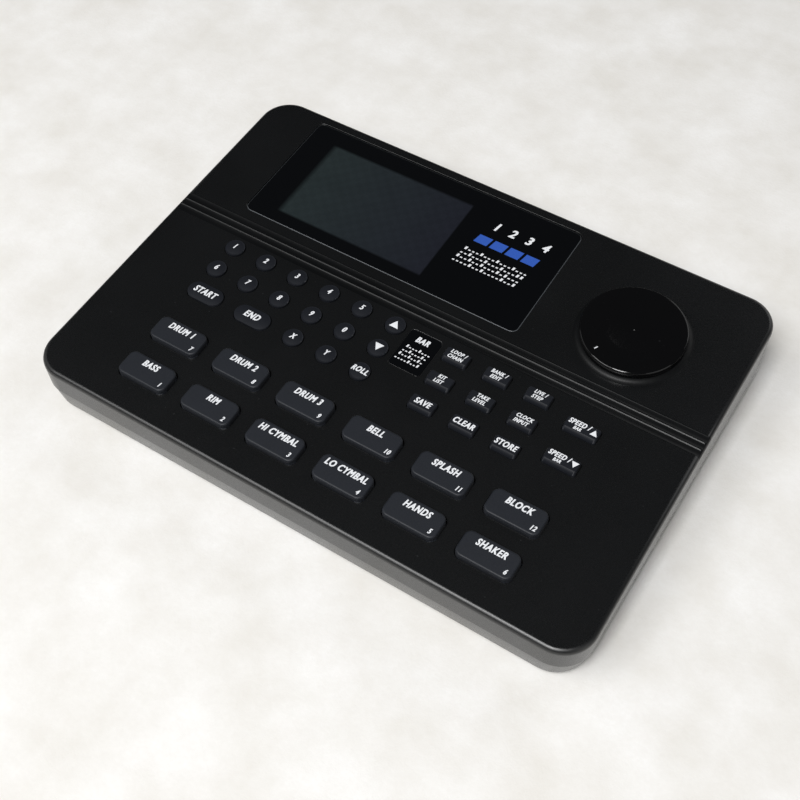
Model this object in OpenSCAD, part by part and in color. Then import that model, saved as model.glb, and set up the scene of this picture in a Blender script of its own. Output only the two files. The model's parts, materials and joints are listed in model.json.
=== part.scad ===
// Desktop drum machine: a low wedge with a sloping deck that carries a display window,
// a large volume dial, two fields of rubber keys and two rows of pads.
// +X is to the right, +Y to the back, +Z up. The origin is the middle of the footprint,
// at table height. Most pieces are placed in the deck's own frame: x across, s up the slope
// from the front edge, h out of the deck.

/* [Body] */
// Width of the case
body_w = 236; // [232:1:260]
// Depth of the case, measured along the table
body_d = 166; // [164:1:190]
// Height of the deck's front edge above the table
front_h = 23; // [22:0.5:30]
// Slope of the deck
tilt = 5; // [4:0.5:8]
// Radius of the case's corners, seen from above
corner_r = 13; // [8:0.5:16]
// Radius of the roll between deck and skirt
edge_r = 2; // [1:0.25:2.5]
// Thickness of the case's walls
wall = 2.2; // [1.8:0.1:2.8]
// Thickness of the deck
deck_t = 2.4; // [2.2:0.1:3]
// Height of the joint between cover and bottom case above the table
joint_h = 12; // [11:0.5:13]
// How far the cover's skirt leans in on its way down to the joint
skirt_lean = 0.4; // [0.2:0.1:1]
// How far the bottom case leans in below the joint
base_lean = 1.5; // [0.8:0.1:2.5]

/* [Grooves] */
// Number of grooves across the deck
groove_count = 3; // [1:1:3]
// Distance from one groove to the next
groove_pitch = 3.24; // [3.1:0.02:3.4]
// Width of a groove at the deck
groove_w = 3; // [2:0.1:3]
// Depth of a groove
groove_depth = 0.5; // [0.2:0.05:0.7]

/* [Display] */
// Width of the display window
window_w = 127.8; // [110:0.2:130]
// Depth of the display window
window_d = 56.4; // [52:0.2:57]
// Corner radius of the display window
window_r = 3; // [2:0.5:6]
// Thickness of the display window
window_t = 1.2; // [0.8:0.1:1.4]
// Width of the liquid crystal area
lcd_w = 69.5; // [60:0.5:74]
// Depth of the liquid crystal area
lcd_d = 43; // [36:0.5:45]

/* [Dial] */
// Diameter of the volume dial
dial_dia = 41; // [34:0.5:42]
// Height of the dial's rim above the deck
dial_h = 4.6; // [4:0.1:6]
// Depth of the dish in the dial's top
dish_depth = 1; // [0.4:0.1:1.2]
// Width of the flat band between the dial's rim and its dish
dish_rim = 9; // [6:0.25:12]
// Height of the raised ring round the dial
ring_h = 1.5; // [0.8:0.1:1.6]
// Width of the raised ring's slope
ring_w = 3; // [2:0.1:3.5]
// Diameter of the volume control's shaft
shaft_dia = 6; // [5:0.25:6.5]

/* [Pads] */
// Width of a pad
pad_w = 21.8; // [18:0.2:24]
// Depth of a pad
pad_d = 10.8; // [9:0.2:13]
// Height of a pad above the deck
pad_h = 2.1; // [1.6:0.1:3]
// Corner radius of a pad
pad_r = 2.8; // [1.5:0.1:4]
// Distance from pad to pad across the deck
pad_pitch_x = 29.5; // [28.5:0.1:31]
// Distance between the two rows of pads
pad_pitch_s = 19.1; // [18:0.1:20]

/* [Keys] */
// Diameter of a round key
key_dia = 8.1; // [7.5:0.1:9.4]
// Height of a round key above the deck
key_h = 1.1; // [0.8:0.1:2]
// Distance from round key to round key across the deck
key_pitch_x = 15.3; // [14.5:0.1:15.4]
// Distance between the rows of round keys
key_pitch_s = 12.45; // [11.8:0.05:12.6]
// Width of a function key
func_w = 10.3; // [9:0.1:12]
// Width of a tempo key
tempo_w = 13.4; // [12:0.1:15]
// Depth of the function and tempo keys
func_d = 6.1; // [5:0.1:7.4]
// Height of the function and tempo keys above the deck
func_h = 1.4; // [1:0.1:2.2]
// Distance from function key to function key across the deck
func_pitch_x = 17.4; // [16.6:0.1:17.6]
// Distance between the rows of function keys
func_pitch_s = 12.2; // [11.4:0.1:12.4]
// How far every key and pad travels
key_travel = 1.2; // [0.8:0.1:1.4]

/* [Sockets] */
// Bore of the phone sockets, for plugs of a quarter of an inch
phone_bore = 6.5; // [6.4:0.05:6.8]
// Bore of the power inlet
inlet_bore = 5.6; // [5.2:0.1:6]
// Diameter of a rubber foot
foot_dia = 12; // [9:0.5:14]
// Height of a rubber foot below the case
foot_h = 2; // [1.5:0.1:3]

/* [Hidden] */
$fn = 64;
eps = 0.01;
pad_count = 12;
func_count = 9;

case_black = "#1c1d1f";
rubber_slate = "#2b2e35";
gloss_black = "#0b0c0e";
lcd_green = "#39413d";
board_green = "#1d5a38";
silicone_grey = "#4a4d52";
steel = "#b9bcc0";
socket_black = "#17181a";

// Slope and case
slide_gap = 0.3;          // round every key in its opening
pad_gap = 0.5;            // round every pad in its opening
seat_gap = 0.25;          // round the window and the label in their seats
reveal = 0.1;             // the bottom case stands this far inside the cover
tongue_t = 1.2;
tongue_h = 2;
tongue_gap = 0.3;
pack_gap = 0.2;           // between the collars and the deck's underside

// Keys under the deck
collar_w = 1.2;
collar_t = 1;
mat_t = 1.2;
mat_gap = 0.3;
board_t = 1.6;
mat_margin = 4;           // past the keys, on the outer sides
mats_apart = 2;           // between the two mats
collar_top = -deck_t - pack_gap;
collar_low = collar_top - collar_t;
mat_top = collar_low - key_travel - mat_gap;
board_top = mat_top - mat_t;
cap_edge = 0.7;           // roll round the top of a rubber cap

// The fields of the deck. What is left of its length and width is shared out between them,
// in the proportions of the gaps below.
deck_len = body_d / cos(tilt);
label_size = [13.8, 18.2];
ring_dia = dial_dia + 2 * ring_w;
row_gaps = [13.2, 12.85, 1.71, 4.81, 5.28];       // front edge, pads, keys, grooves, window, back edge
row_sizes = [pad_pitch_s + pad_d, 2 * key_pitch_s + key_dia,
             (groove_count - 1) * groove_pitch + groove_w, window_d];
key_gaps = [31.75, 2.35, 2.75, 8.05, 34.2];       // side, round keys, label, function keys, tempo keys, side
key_sizes = [5 * key_pitch_x + key_dia, label_size[0], 2 * func_pitch_x + func_w, tempo_w];
top_gaps = [25.5, 15.3, 20.4];                    // side, window, ring of the dial, side
top_sizes = [window_w, ring_dia];

function sum(list, n) = n == 0 ? 0 : list[n - 1] + sum(list, n - 1);
// Where field i starts on a line of the given length
function start_of(i, length, gaps, sizes) = sum(sizes, i)
    + sum(gaps, i + 1) * (length - sum(sizes, len(sizes))) / sum(gaps, len(gaps));
function row_start(i) = start_of(i, deck_len, row_gaps, row_sizes);
function key_start(i) = start_of(i, body_w, key_gaps, key_sizes) - body_w / 2;
function top_start(i) = start_of(i, body_w, top_gaps, top_sizes) - body_w / 2;

mat_inner = (row_start(1) - row_start(0) - row_sizes[0] - mats_apart) / 2;

// Places on the deck, as [x, s]
pad_shift = -0.3;         // the pads stand this far off the middle
func_drop = 1.6;          // how far these stand in front of the back row of round keys
tempo_drop = 5.9;
label_drop = 6.9;
ring_back = 2.56;         // from the grooves to the ring of the dial
pad_row_s = row_start(0) + pad_d / 2;
key_row_s = row_start(1) + row_sizes[1] - key_dia / 2;
groove_s = row_start(2) + row_sizes[2] / 2;
key_col_x = key_start(0) + key_dia / 2;
func_col_x = key_start(2) + func_w / 2;
func_row_s = key_row_s - func_drop;
tempo_at = [key_start(3) + tempo_w / 2, key_row_s - tempo_drop];
tempo_pitch_s = 15.3;
window_at = [top_start(0) + window_w / 2, row_start(3) + window_d / 2];
lcd_at = window_at + [-16.9, -1.15];
label_at = [key_start(1) + label_size[0] / 2, key_row_s - label_drop];
dial_at = [top_start(1) + ring_dia / 2, row_start(2) + row_sizes[2] + ring_back + ring_dia / 2];
label_t = 0.3;
label_proud = 0.12;
window_sink = 0.35;
dial_gap = 0.4;           // between the raised ring and the dial
groove_r = (groove_w * groove_w / 4 + groove_depth * groove_depth) / (2 * groove_depth);

// Height of the deck above the table at a distance from the middle
function deck_z(y) = front_h + (y + body_d / 2) * tan(tilt);
function pad_at(i) = [pad_shift + ((i - 1) % 6 - 2.5) * pad_pitch_x, pad_row_s + floor((i - 1) / 6) * pad_pitch_s];
function key_at(col, row) = [key_col_x + col * key_pitch_x, key_row_s - row * key_pitch_s];
function number_at(i) = i == 0 ? key_at(4, 1) : key_at((i - 1) % 5, floor((i - 1) / 5));
function func_at(i) = [func_col_x + ((i - 1) % 3) * func_pitch_x, func_row_s - floor((i - 1) / 3) * func_pitch_s];
function tempo_key_at(i) = [tempo_at[0], tempo_at[1] - i * tempo_pitch_s];

// The two long keys fill the width of two round keys each
long_key_span = 7.8;
play_at = [key_at(0, 2)[0] + long_key_span / 2, key_at(0, 2)[1]];
stop_at = [key_at(2, 2)[0] - long_key_span / 2, key_at(2, 2)[1]];

// The back of the case: a recessed panel, with the sockets side by side from the left.
// What is left of its width is shared out between the groups of sockets.
panel_in = 12;            // from the case's sides
panel_sink = 2.6;
panel_t = 2;
panel_rise = 1;           // above the joint
panel_h = 17.5;
panel_y = body_d / 2 - panel_sink;
panel_low = joint_h + panel_rise;
panel_high = panel_low + panel_h;
panel_w = body_w - 2 * panel_in;
jack_rise = 8.5;          // above the joint
jack_z = joint_h + jack_rise;
jack_body = [15, 30, 12];
jack_gap = 3;             // from one phone socket to the next
jack_thread_dia = 9;
jack_stand = 2.3;
nut_dia = 13.6;
nut_t = 1.8;
socket_dia = 14.4;
socket_body = [18, 14, 16];
socket_gap = 4;
pin_dia = 1.4;
inlet_body = [10, 13, 11.5];
inlet_pin_dia = 2;
inlet_wall = 1.5;
switch_body = [14, 8, 8];
lever_size = [4.4, 3.6];
lever_travel = 4;
lever_proud = 2.2;
lever_gap = 0.4;          // round the lever inside the switch
slot_gap = [0.8, 0.5];    // round the lever in the panel
switch_slot = [lever_size[0] + lever_travel + 2 * slot_gap[0], lever_size[1] + 2 * slot_gap[1]];
panel_margins = [14.5, 3.5];
group_gap = (panel_w - panel_margins[0] - panel_margins[1] - 6 * jack_body[0] - 4 * jack_gap
    - 2 * socket_body[0] - socket_gap - inlet_body[0] - switch_body[0]) / 4;
jack_x = [for (i = [0:5]) -panel_w / 2 + panel_margins[0] + (i + 0.5) * jack_body[0] + i * jack_gap
    + (i > 3 ? group_gap - jack_gap : 0)];
socket_x = [for (i = [0, 1]) jack_x[5] + jack_body[0] / 2 + group_gap + (i + 0.5) * socket_body[0] + i * socket_gap];
inlet_x = socket_x[1] + socket_body[0] / 2 + group_gap + inlet_body[0] / 2;
switch_x = inlet_x + inlet_body[0] / 2 + group_gap + switch_body[0] / 2;
hole_gap = 0.25;
main_board_top = jack_z - jack_body[2] / 2;
socket_z = main_board_top + socket_body[2] / 2;
inlet_z = main_board_top + inlet_body[2] / 2;
switch_z = main_board_top + switch_body[2] / 2;

// Fastenings
boss_dia = 7;
boss_wall = 0.8;          // from the cover's wall to a boss
boss_in = 17;             // from the case's front and back
screw_dia = 3;
screw_head_dia = 5.6;
screw_head_t = 1.8;
screw_reach = 6.5;        // into the cover's boss
pilot_dia = screw_dia + 0.04;
pilot_depth = 8;
boss_x = body_w / 2 - wall - skirt_lean - boss_wall - boss_dia / 2;
boss_at = [for (y = [-1, 0, 1], x = [-1, 1]) [x * boss_x, y * (body_d / 2 - boss_in)]];

// Boards: both reach from boss to boss
board_gap = 1;
board_w = 2 * (boss_x - boss_dia / 2 - board_gap);
board_hole_dia = 3;
main_board_d = 46;
main_board_back = 0.4;    // behind it, to the panel
main_board_y = panel_y - panel_t - main_board_back - main_board_d / 2;
board_front = row_start(0) - mat_margin - 0.6;
board_back = row_start(1) + row_sizes[1] + 3.2;
board_post_dia = 6;
field_half = max(-key_start(0), key_start(3) + tempo_w, 2.5 * pad_pitch_x + pad_w / 2 - pad_shift) + mat_margin;
board_post_x = (field_half + boss_x - boss_dia / 2) / 2;
board_post_at = [for (s = [board_front + 4, (board_front + board_back) / 2, board_back - 3.2], x = [-1, 1])
    [x * board_post_x, s]];
stand_dia = 6;
stand_in = [8, 5];        // from the sides and from the front and back of the main board
stand_at = [for (y = [-1, 1], x = [-1, 1])
    [x * (board_w / 2 - stand_in[0]), main_board_y + y * (main_board_d / 2 - stand_in[1])]];
rib_h = 2.6;
rib_t = 1.2;
rib_pitch = [44, 40];
foot_seat = 0.6;
foot_in = [20, 19];
foot_at = [for (y = [-1, 1], x = [-1, 1]) [x * (body_w / 2 - foot_in[0]), y * (body_d / 2 - foot_in[1])]];

// Volume control under the deck
pot_body = [17, 17, 8];
bush_dia = shaft_dia + 1.4;
bush_top = 1.2;
pot_nut_dia = 11;
pot_nut_t = 1;
run_gap = 0.05;

// A rectangle with round corners, centred
module rounded(size, r) {
    square([size[0] - 2 * r, size[1]], center = true);
    square([size[0], size[1] - 2 * r], center = true);
    for (x = [-1, 1], y = [-1, 1])
        translate([x * (size[0] / 2 - r), y * (size[1] / 2 - r)])
            circle(r);
}

// Places children in the deck's frame, at x, s and a height above the deck
module on_deck(at = [0, 0], h = 0) {
    translate([0, -body_d / 2, front_h])
        rotate([tilt, 0, 0])
            translate([at[0], at[1], h])
                children();
}

// The outer form of the cover: four rolled corners, drawn down to the joint
module cover_form() {
    hull() {
        on_deck()
            for (x = [-1, 1], y = [corner_r, body_d - corner_r])
                translate([x * (body_w / 2 - corner_r), y / cos(tilt) - edge_r * tan(tilt), -edge_r])
                    rotate_extrude($fn = 64)
                        translate([corner_r - edge_r, 0])
                            circle(edge_r, $fn = 24);
        translate([0, 0, joint_h])
            linear_extrude(eps)
                rounded([body_w - 2 * skirt_lean, body_d - 2 * skirt_lean], corner_r, $fn = 64);
    }
}

// The hollow in the cover, with what stands in it left out of the cut
module cover_hollow() {
    inset = wall + skirt_lean;
    difference() {
        translate([0, 0, joint_h - 1])
            linear_extrude(body_d)
                rounded([body_w - 2 * inset, body_d - 2 * inset], corner_r - inset);
        on_deck([0, 0], -deck_t)
            translate([-body_w, -body_d, 0])
                cube([2 * body_w, 3 * body_d, body_d]);
        // bosses for the case screws
        for (at = boss_at)
            translate([at[0], at[1], joint_h])
                cylinder(h = body_d, d = boss_dia);
        // posts that hold the key board
        for (at = board_post_at)
            on_deck(at, board_top)
                cylinder(h = -board_top, d = board_post_dia);
        // the flat sill behind the sockets
        translate([-panel_w / 2, panel_y - panel_t, panel_low - 1])
            cube([panel_w, panel_t + 5, panel_high - panel_low + 2]);
    }
}

// The outline of every opening that a cap works in
module cap_openings() {
    for (i = [1:pad_count])
        translate(pad_at(i))
            rounded([pad_w + 2 * pad_gap, pad_d + 2 * pad_gap], pad_r + pad_gap);
    for (row = [0, 1], col = [0:5])
        translate(key_at(col, row))
            circle(key_dia / 2 + slide_gap);
    for (col = [3:5])
        translate(key_at(col, 2))
            circle(key_dia / 2 + slide_gap);
    for (at = [play_at, stop_at])
        translate(at)
            rounded([key_dia + long_key_span + 2 * slide_gap, key_dia + 2 * slide_gap], key_dia / 2 + slide_gap - eps);
    for (i = [1:func_count])
        translate(func_at(i))
            rounded([func_w + 2 * slide_gap, func_d + 2 * slide_gap], 1 + slide_gap);
    for (i = [0, 1])
        translate(tempo_key_at(i))
            rounded([tempo_w + 2 * slide_gap, func_d + 2 * slide_gap], 1 + slide_gap);
}

module top_cover() {
    color(case_black)
    difference() {
        union() {
            cover_form();
            // the raised ring round the dial
            on_deck(dial_at, -deck_t / 2)
                cylinder(h = deck_t / 2 + ring_h, r1 = dial_dia / 2 + ring_w - 0.6 + ring_w * deck_t / 2 / ring_h, r2 = dial_dia / 2 - 0.6);
        }
        cover_hollow();
        on_deck([0, 0], -deck_t - 1)
            linear_extrude(deck_t + 2)
                cap_openings();
        // three grooves, side to side
        for (i = [0:groove_count - 1])
            on_deck([0, groove_s + (i - (groove_count - 1) / 2) * groove_pitch], groove_r - groove_depth)
                rotate([0, 90, 0])
                    cylinder(h = body_w + 2, r = groove_r, center = true, $fn = 96);
        // seats of the window and the label
        on_deck(window_at, -window_sink - window_t)
            linear_extrude(window_t + 2)
                rounded([window_w + 2 * seat_gap, window_d + 2 * seat_gap], window_r + seat_gap);
        on_deck(lcd_at, -deck_t - 1)
            linear_extrude(deck_t + 2)
                square([lcd_w + 1, lcd_d + 1], center = true);
        on_deck(label_at, label_proud - label_t)
            linear_extrude(2)
                rounded([label_size[0] + 2 * seat_gap, label_size[1] + 2 * seat_gap], 1.6 + seat_gap);
        on_deck(dial_at, -deck_t - 1)
            cylinder(h = 6, d = bush_dia + 2 * hole_gap);
        on_deck(dial_at, 0)
            cylinder(h = 3, r = dial_dia / 2 - 2.2);
        // the flat recess and its openings at the back
        translate([-panel_w / 2, panel_y, panel_low])
            cube([panel_w, 5, panel_high - panel_low]);
        panel_holes();
        for (at = boss_at)
            translate([at[0], at[1], joint_h - 1])
                cylinder(h = pilot_depth + 1, d = pilot_dia);
    }
}

// Everything that passes the back panel, as cutters along +Y
module panel_holes() {
    for (x = jack_x)
        translate([x, panel_y - 4, jack_z])
            rotate([-90, 0, 0])
                cylinder(h = 8, d = jack_thread_dia + 2 * hole_gap);
    for (x = socket_x)
        translate([x, panel_y - 4, socket_z])
            rotate([-90, 0, 0])
                cylinder(h = 8, d = socket_dia + 2 * hole_gap);
    translate([inlet_x, panel_y - 4, inlet_z])
        rotate([-90, 0, 0])
            cylinder(h = 8, d = inlet_bore + 2 * inlet_wall + 2 * hole_gap);
    translate([switch_x, panel_y, switch_z])
        cube([switch_slot[0], 8, switch_slot[1]], center = true);
}

// The outer form of the bottom case, from the joint down to a rolled lower edge
module base_form() {
    foot_edge = 1.2;
    hull() {
        translate([0, 0, joint_h - eps])
            linear_extrude(eps)
                base_outline(0);
        translate([0, 0, foot_h + foot_edge])
            linear_extrude(eps)
                base_outline(base_lean);
        translate([0, 0, foot_h])
            linear_extrude(eps)
                base_outline(base_lean + foot_edge);
    }
}

module base_outline(lean) {
    grow = 2 * (skirt_lean + reveal + lean);
    rounded([body_w - grow, body_d - grow], corner_r, $fn = 64);
}

// The hollow of the bottom case, with bosses, stands and ribs left out of the cut
module base_hollow(inset) {
    difference() {
        translate([0, 0, foot_h + wall])
            linear_extrude(joint_h)
                rounded([body_w - 2 * inset, body_d - 2 * inset], corner_r - inset);
        for (at = boss_at)
            translate([at[0], at[1], 0])
                cylinder(h = joint_h, d = boss_dia);
        for (at = stand_at)
            translate([at[0], at[1], 0])
                cylinder(h = main_board_top - board_t, d = stand_dia);
        // low ribs that stiffen the floor
        for (i = [-2:2])
            translate([i * rib_pitch[0] - rib_t / 2, -body_d / 2, 0])
                cube([rib_t, body_d, foot_h + wall + rib_h]);
        for (i = [-1:1])
            translate([-body_w / 2, i * rib_pitch[1] - rib_t / 2, 0])
                cube([body_w, rib_t, foot_h + wall + rib_h]);
    }
}

module bottom_case() {
    tongue_in = skirt_lean + wall + tongue_gap;
    hollow_in = tongue_in + tongue_t;
    color(case_black)
    difference() {
        union() {
            base_form();
            // the tongue that keys into the cover, open at the bosses and the panel
            difference() {
                translate([0, 0, joint_h - 1])
                    linear_extrude(1 + tongue_h)
                        rounded([body_w - 2 * tongue_in, body_d - 2 * tongue_in], corner_r - tongue_in);
                for (at = boss_at)
                    translate([at[0], at[1], joint_h])
                        cylinder(h = 5, d = boss_dia + 2 * tongue_gap);
                translate([-panel_w / 2 - 1, panel_y - panel_t - 1, joint_h])
                    cube([panel_w + 2, 8, 5]);
            }
        }
        base_hollow(hollow_in);
        for (at = boss_at)
            translate([at[0], at[1], 0]) {
                cylinder(h = joint_h + 1, d = screw_dia + 0.4);
                cylinder(h = foot_h + screw_head_t + 0.6, d = screw_head_dia + 0.6);
            }
        for (at = foot_at)
            translate([at[0], at[1], 0])
                cylinder(h = foot_h + foot_seat, d = foot_dia + 0.4);
    }
}

module display_window() {
    color(gloss_black)
    on_deck(window_at, -window_sink - window_t)
        soft_block([window_w, window_d], window_t, window_r, 0.35);
}

module lcd_module() {
    frame_t = 3.4;
    rim = [5, 4];
    glass_t = deck_t - window_sink - window_t;
    color(lcd_green)
    on_deck(lcd_at, -deck_t)
        difference() {
            union() {
                linear_extrude(glass_t - 0.05)
                    square([lcd_w, lcd_d], center = true);
                translate([0, 0, -frame_t])
                    linear_extrude(frame_t)
                        rounded([lcd_w + 2 * rim[0], lcd_d + 2 * rim[1]], 1.5);
            }
            for (x = [-1, 1], y = [-1, 1])
                translate([x * (lcd_w + rim[0]) / 2, y * (lcd_d + rim[1]) / 2, -frame_t - 1])
                    cylinder(h = frame_t + 2, d = 2.2);
        }
}

module info_label() {
    color(gloss_black)
    on_deck(label_at, label_proud - label_t)
        soft_block(label_size, label_t, 1.6, 0.15);
}

// A block with round corners and a rolled top edge
module soft_block(size, h, r, edge) {
    steps = 3;
    hull() {
        linear_extrude(eps)
            rounded(size, r, $fn = 32);
        for (k = [0:steps])
            translate([0, 0, h - edge + edge * sin(90 * k / steps) - eps])
                linear_extrude(eps)
                    rounded([size[0] - 2 * edge * (1 - cos(90 * k / steps)),
                             size[1] - 2 * edge * (1 - cos(90 * k / steps))],
                            max(r - edge * (1 - cos(90 * k / steps)), 0.2), $fn = 32);
    }
}

// The part of a key below the deck: its body in the opening and the collar that keeps it in
module key_root(size, r, top) {
    translate([0, 0, collar_low])
        linear_extrude(top - collar_low)
            rounded(size, r);
    translate([0, 0, collar_low])
        linear_extrude(collar_t)
            rounded([size[0] + 2 * collar_w, size[1] + 2 * collar_w], r + collar_w);
}

module pad(i) {
    color(rubber_slate)
    on_deck(pad_at(i)) {
        key_root([pad_w, pad_d], pad_r, 0);
        soft_block([pad_w, pad_d], pad_h, pad_r, cap_edge + 0.1);
    }
}

// The turned top of a round key: a low dome with a rolled edge
module key_dome() {
    dome_r = 16;
    rotate_extrude()
        intersection() {
            union() {
                square([key_dia / 2 - cap_edge, key_h]);
                square([key_dia / 2, key_h - cap_edge]);
                translate([key_dia / 2 - cap_edge, key_h - cap_edge])
                    circle(cap_edge);
            }
            translate([0, key_h - dome_r])
                circle(dome_r, $fn = 180);
            square([key_dia, key_h + 1]);
        }
}

module round_key(at) {
    color(rubber_slate)
    on_deck(at) {
        translate([0, 0, collar_low])
            cylinder(h = -collar_low + eps, d = key_dia);
        translate([0, 0, collar_low])
            cylinder(h = collar_t, d = key_dia + 2 * collar_w);
        key_dome();
    }
}

module long_key(at) {
    color(rubber_slate)
    on_deck(at) {
        key_root([key_dia + long_key_span, key_dia], key_dia / 2 - eps, 0);
        hull()
            for (x = [-1, 1])
                translate([x * long_key_span / 2, 0, 0])
                    key_dome($fn = 32);
    }
}

// A function key: a flat back with a slope falling to the front
module slope_key(at, w) {
    front = 1.5;
    drop = 0.8;
    edge = 0.35;
    color(rubber_slate)
    on_deck(at) {
        key_root([w, func_d], 1, 0);
        hull() {
            linear_extrude(func_h - drop)
                rounded([w, func_d], 1, $fn = 32);
            linear_extrude(func_h - edge)
                translate([0, front / 2])
                    rounded([w, func_d - front], 0.9, $fn = 32);
            linear_extrude(func_h)
                translate([0, (front - edge) / 2])
                    rounded([w - 2 * edge, func_d - front - edge], 0.6, $fn = 32);
        }
    }
}

// The dial: a thin dished disc with a rolled rim, open below, on a hub
module volume_dial() {
    r = dial_dia / 2;
    low = ring_h + dial_gap;
    rim = 0.9;
    dish_r = r - dish_rim;
    ball_r = (dish_r * dish_r + dish_depth * dish_depth) / (2 * dish_depth);
    skin = 1.4;
    color(gloss_black)
    on_deck(dial_at)
        difference() {
            union() {
                rotate_extrude($fn = 128) {
                    translate([0, low])
                        square([r, dial_h - rim - low]);
                    translate([0, low])
                        square([r - rim, dial_h - low]);
                    translate([r - rim, dial_h - rim])
                        circle(rim);
                }
                translate([0, 0, bush_top + 0.2])
                    cylinder(h = low - bush_top, d = shaft_dia + 4);
            }
            // the dish
            translate([0, 0, dial_h + ball_r - dish_depth])
                sphere(ball_r, $fn = 180);
            // the mark of the mould's gate
            translate([0, 0, dial_h - dish_depth - 0.15])
                cylinder(h = dish_depth, d = 0.9, $fn = 24);
            // hollow below
            translate([0, 0, low - 1])
                difference() {
                    cylinder(h = dial_h - skin - low + 1, r = r - 1.6);
                    translate([0, 0, -1])
                        cylinder(h = dial_h + 2, d = shaft_dia + 4);
                    cylinder(h = dial_h, r = dish_r + 1);
                }
            // pointer notch near the rim, at the low stop
            rotate([0, 0, -120])
                translate([r - 3.6, 0, dial_h])
                    rotate([0, 90, 0])
                        cylinder(h = 1.8, d = 0.8, center = true, $fn = 24);
            translate([0, 0, bush_top])
                cylinder(h = shaft_top() - bush_top + 0.05, d = shaft_dia + 0.04);
        }
}

function shaft_top() = dial_h - dish_depth - 0.9;

module pot_shaft() {
    color(steel)
    on_deck(dial_at, -deck_t - pot_body[2] + 1)
        difference() {
            cylinder(h = shaft_top() + deck_t + pot_body[2] - 1, d = shaft_dia);
            translate([-0.5, -shaft_dia, pot_body[2] + deck_t + bush_top - 1 + 0.2])
                cube([1, 2 * shaft_dia, 5]);
        }
}

module volume_pot() {
    color(steel)
    on_deck(dial_at)
        difference() {
            union() {
                translate([0, 0, -deck_t - pot_body[2]])
                    linear_extrude(pot_body[2])
                        rounded([pot_body[0], pot_body[1]], 1.5);
                translate([0, 0, -deck_t - eps])
                    cylinder(h = deck_t + bush_top, d = bush_dia);
                cylinder(h = pot_nut_t, d = pot_nut_dia, $fn = 6);
            }
            translate([0, 0, -deck_t - pot_body[2] + 0.95])
                cylinder(h = pot_body[2] + deck_t + 3, d = shaft_dia + 2 * run_gap);
        }
}

// The rubber mats that the keys press, with a web between the pads thinned to a slot
module pad_mat() {
    w = 5 * pad_pitch_x + pad_w + 2 * mat_margin;
    low = row_start(0) - mat_margin;
    high = row_start(0) + row_sizes[0] + mat_inner;
    color(silicone_grey)
    on_deck([pad_shift, (low + high) / 2], board_top)
        difference() {
            linear_extrude(mat_t)
                rounded([w, high - low], 2);
            for (x = [-2:2])
                translate([x * pad_pitch_x, 0, mat_t / 2])
                    linear_extrude(mat_t)
                        square([1.2, pad_pitch_s], center = true);
        }
}

module key_mat() {
    left = key_start(0) - mat_margin;
    right = key_start(3) + tempo_w + mat_margin;
    low = row_start(1) - mat_inner;
    high = row_start(1) + row_sizes[1] + 0.6;
    color(silicone_grey)
    on_deck([(left + right) / 2, (low + high) / 2], board_top)
        linear_extrude(mat_t)
            rounded([right - left, high - low], 2);
}

module panel_board() {
    middle = (board_front + board_back) / 2;
    color(board_green)
    on_deck([0, middle], board_top - board_t)
        linear_extrude(board_t)
            difference() {
                rounded([board_w, board_back - board_front], 2);
                for (at = board_post_at)
                    translate([at[0], at[1] - middle])
                        circle(d = board_hole_dia);
            }
}

module main_board() {
    color(board_green)
    translate([0, main_board_y, main_board_top - board_t])
        linear_extrude(board_t)
            difference() {
                rounded([board_w, main_board_d], 2);
                for (at = stand_at)
                    translate([at[0], at[1] - main_board_y])
                        circle(d = board_hole_dia);
            }
}

module phone_jacks() {
    color(socket_black)
    for (x = jack_x)
        translate([x, panel_y - panel_t, jack_z])
            difference() {
                union() {
                    translate([-jack_body[0] / 2, -jack_body[1], -jack_body[2] / 2])
                        cube(jack_body);
                    translate([0, -1, 0])
                        rotate([-90, 0, 0])
                            cylinder(h = panel_t + jack_stand + 1, d = jack_thread_dia);
                }
                translate([0, -jack_body[1] + 2, 0])
                    rotate([-90, 0, 0])
                        cylinder(h = jack_body[1] + panel_t + jack_stand, d = phone_bore);
            }
}

module jack_nuts() {
    color(steel)
    for (x = jack_x)
        translate([x, panel_y, jack_z])
            rotate([-90, 0, 0])
                difference() {
                    cylinder(h = nut_t, d = nut_dia, $fn = 6);
                    translate([0, 0, -1])
                        cylinder(h = nut_t + 2, d = jack_thread_dia + 0.04);
                }
}

module midi_sockets() {
    depth = 9;
    color(socket_black)
    for (x = socket_x)
        translate([x, panel_y - panel_t, socket_z]) {
            difference() {
                union() {
                    translate([-socket_body[0] / 2, -socket_body[1], -socket_body[2] / 2])
                        cube(socket_body);
                    translate([0, -1, 0])
                        rotate([-90, 0, 0])
                            cylinder(h = panel_t + 1, d = socket_dia);
                }
                translate([0, panel_t - depth, 0])
                    rotate([-90, 0, 0])
                        cylinder(h = depth + 1, d = socket_dia - 1.2);
            }
            // the insulator carries five holes on a half circle
            translate([0, panel_t - depth, 0])
                rotate([-90, 0, 0])
                    difference() {
                        cylinder(h = depth - 2.5, d = socket_dia - 3.2);
                        for (k = [0:4])
                            rotate([0, 0, 180 + k * 45])
                                translate([3.8, 0, 1])
                                    cylinder(h = depth, d = pin_dia);
                    }
        }
}

module power_inlet() {
    color(socket_black)
    translate([inlet_x, panel_y - panel_t, inlet_z]) {
        difference() {
            union() {
                translate([-inlet_body[0] / 2, -inlet_body[1], -inlet_body[2] / 2])
                    cube(inlet_body);
                translate([0, -1, 0])
                    rotate([-90, 0, 0])
                        cylinder(h = panel_t + 1, d = inlet_bore + 2 * inlet_wall);
            }
            translate([0, panel_t - 9.5, 0])
                rotate([-90, 0, 0])
                    cylinder(h = 12, d = inlet_bore);
        }
        translate([0, panel_t - 10.5, 0])
            rotate([-90, 0, 0])
                cylinder(h = 9, d = inlet_pin_dia);
    }
}

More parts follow.
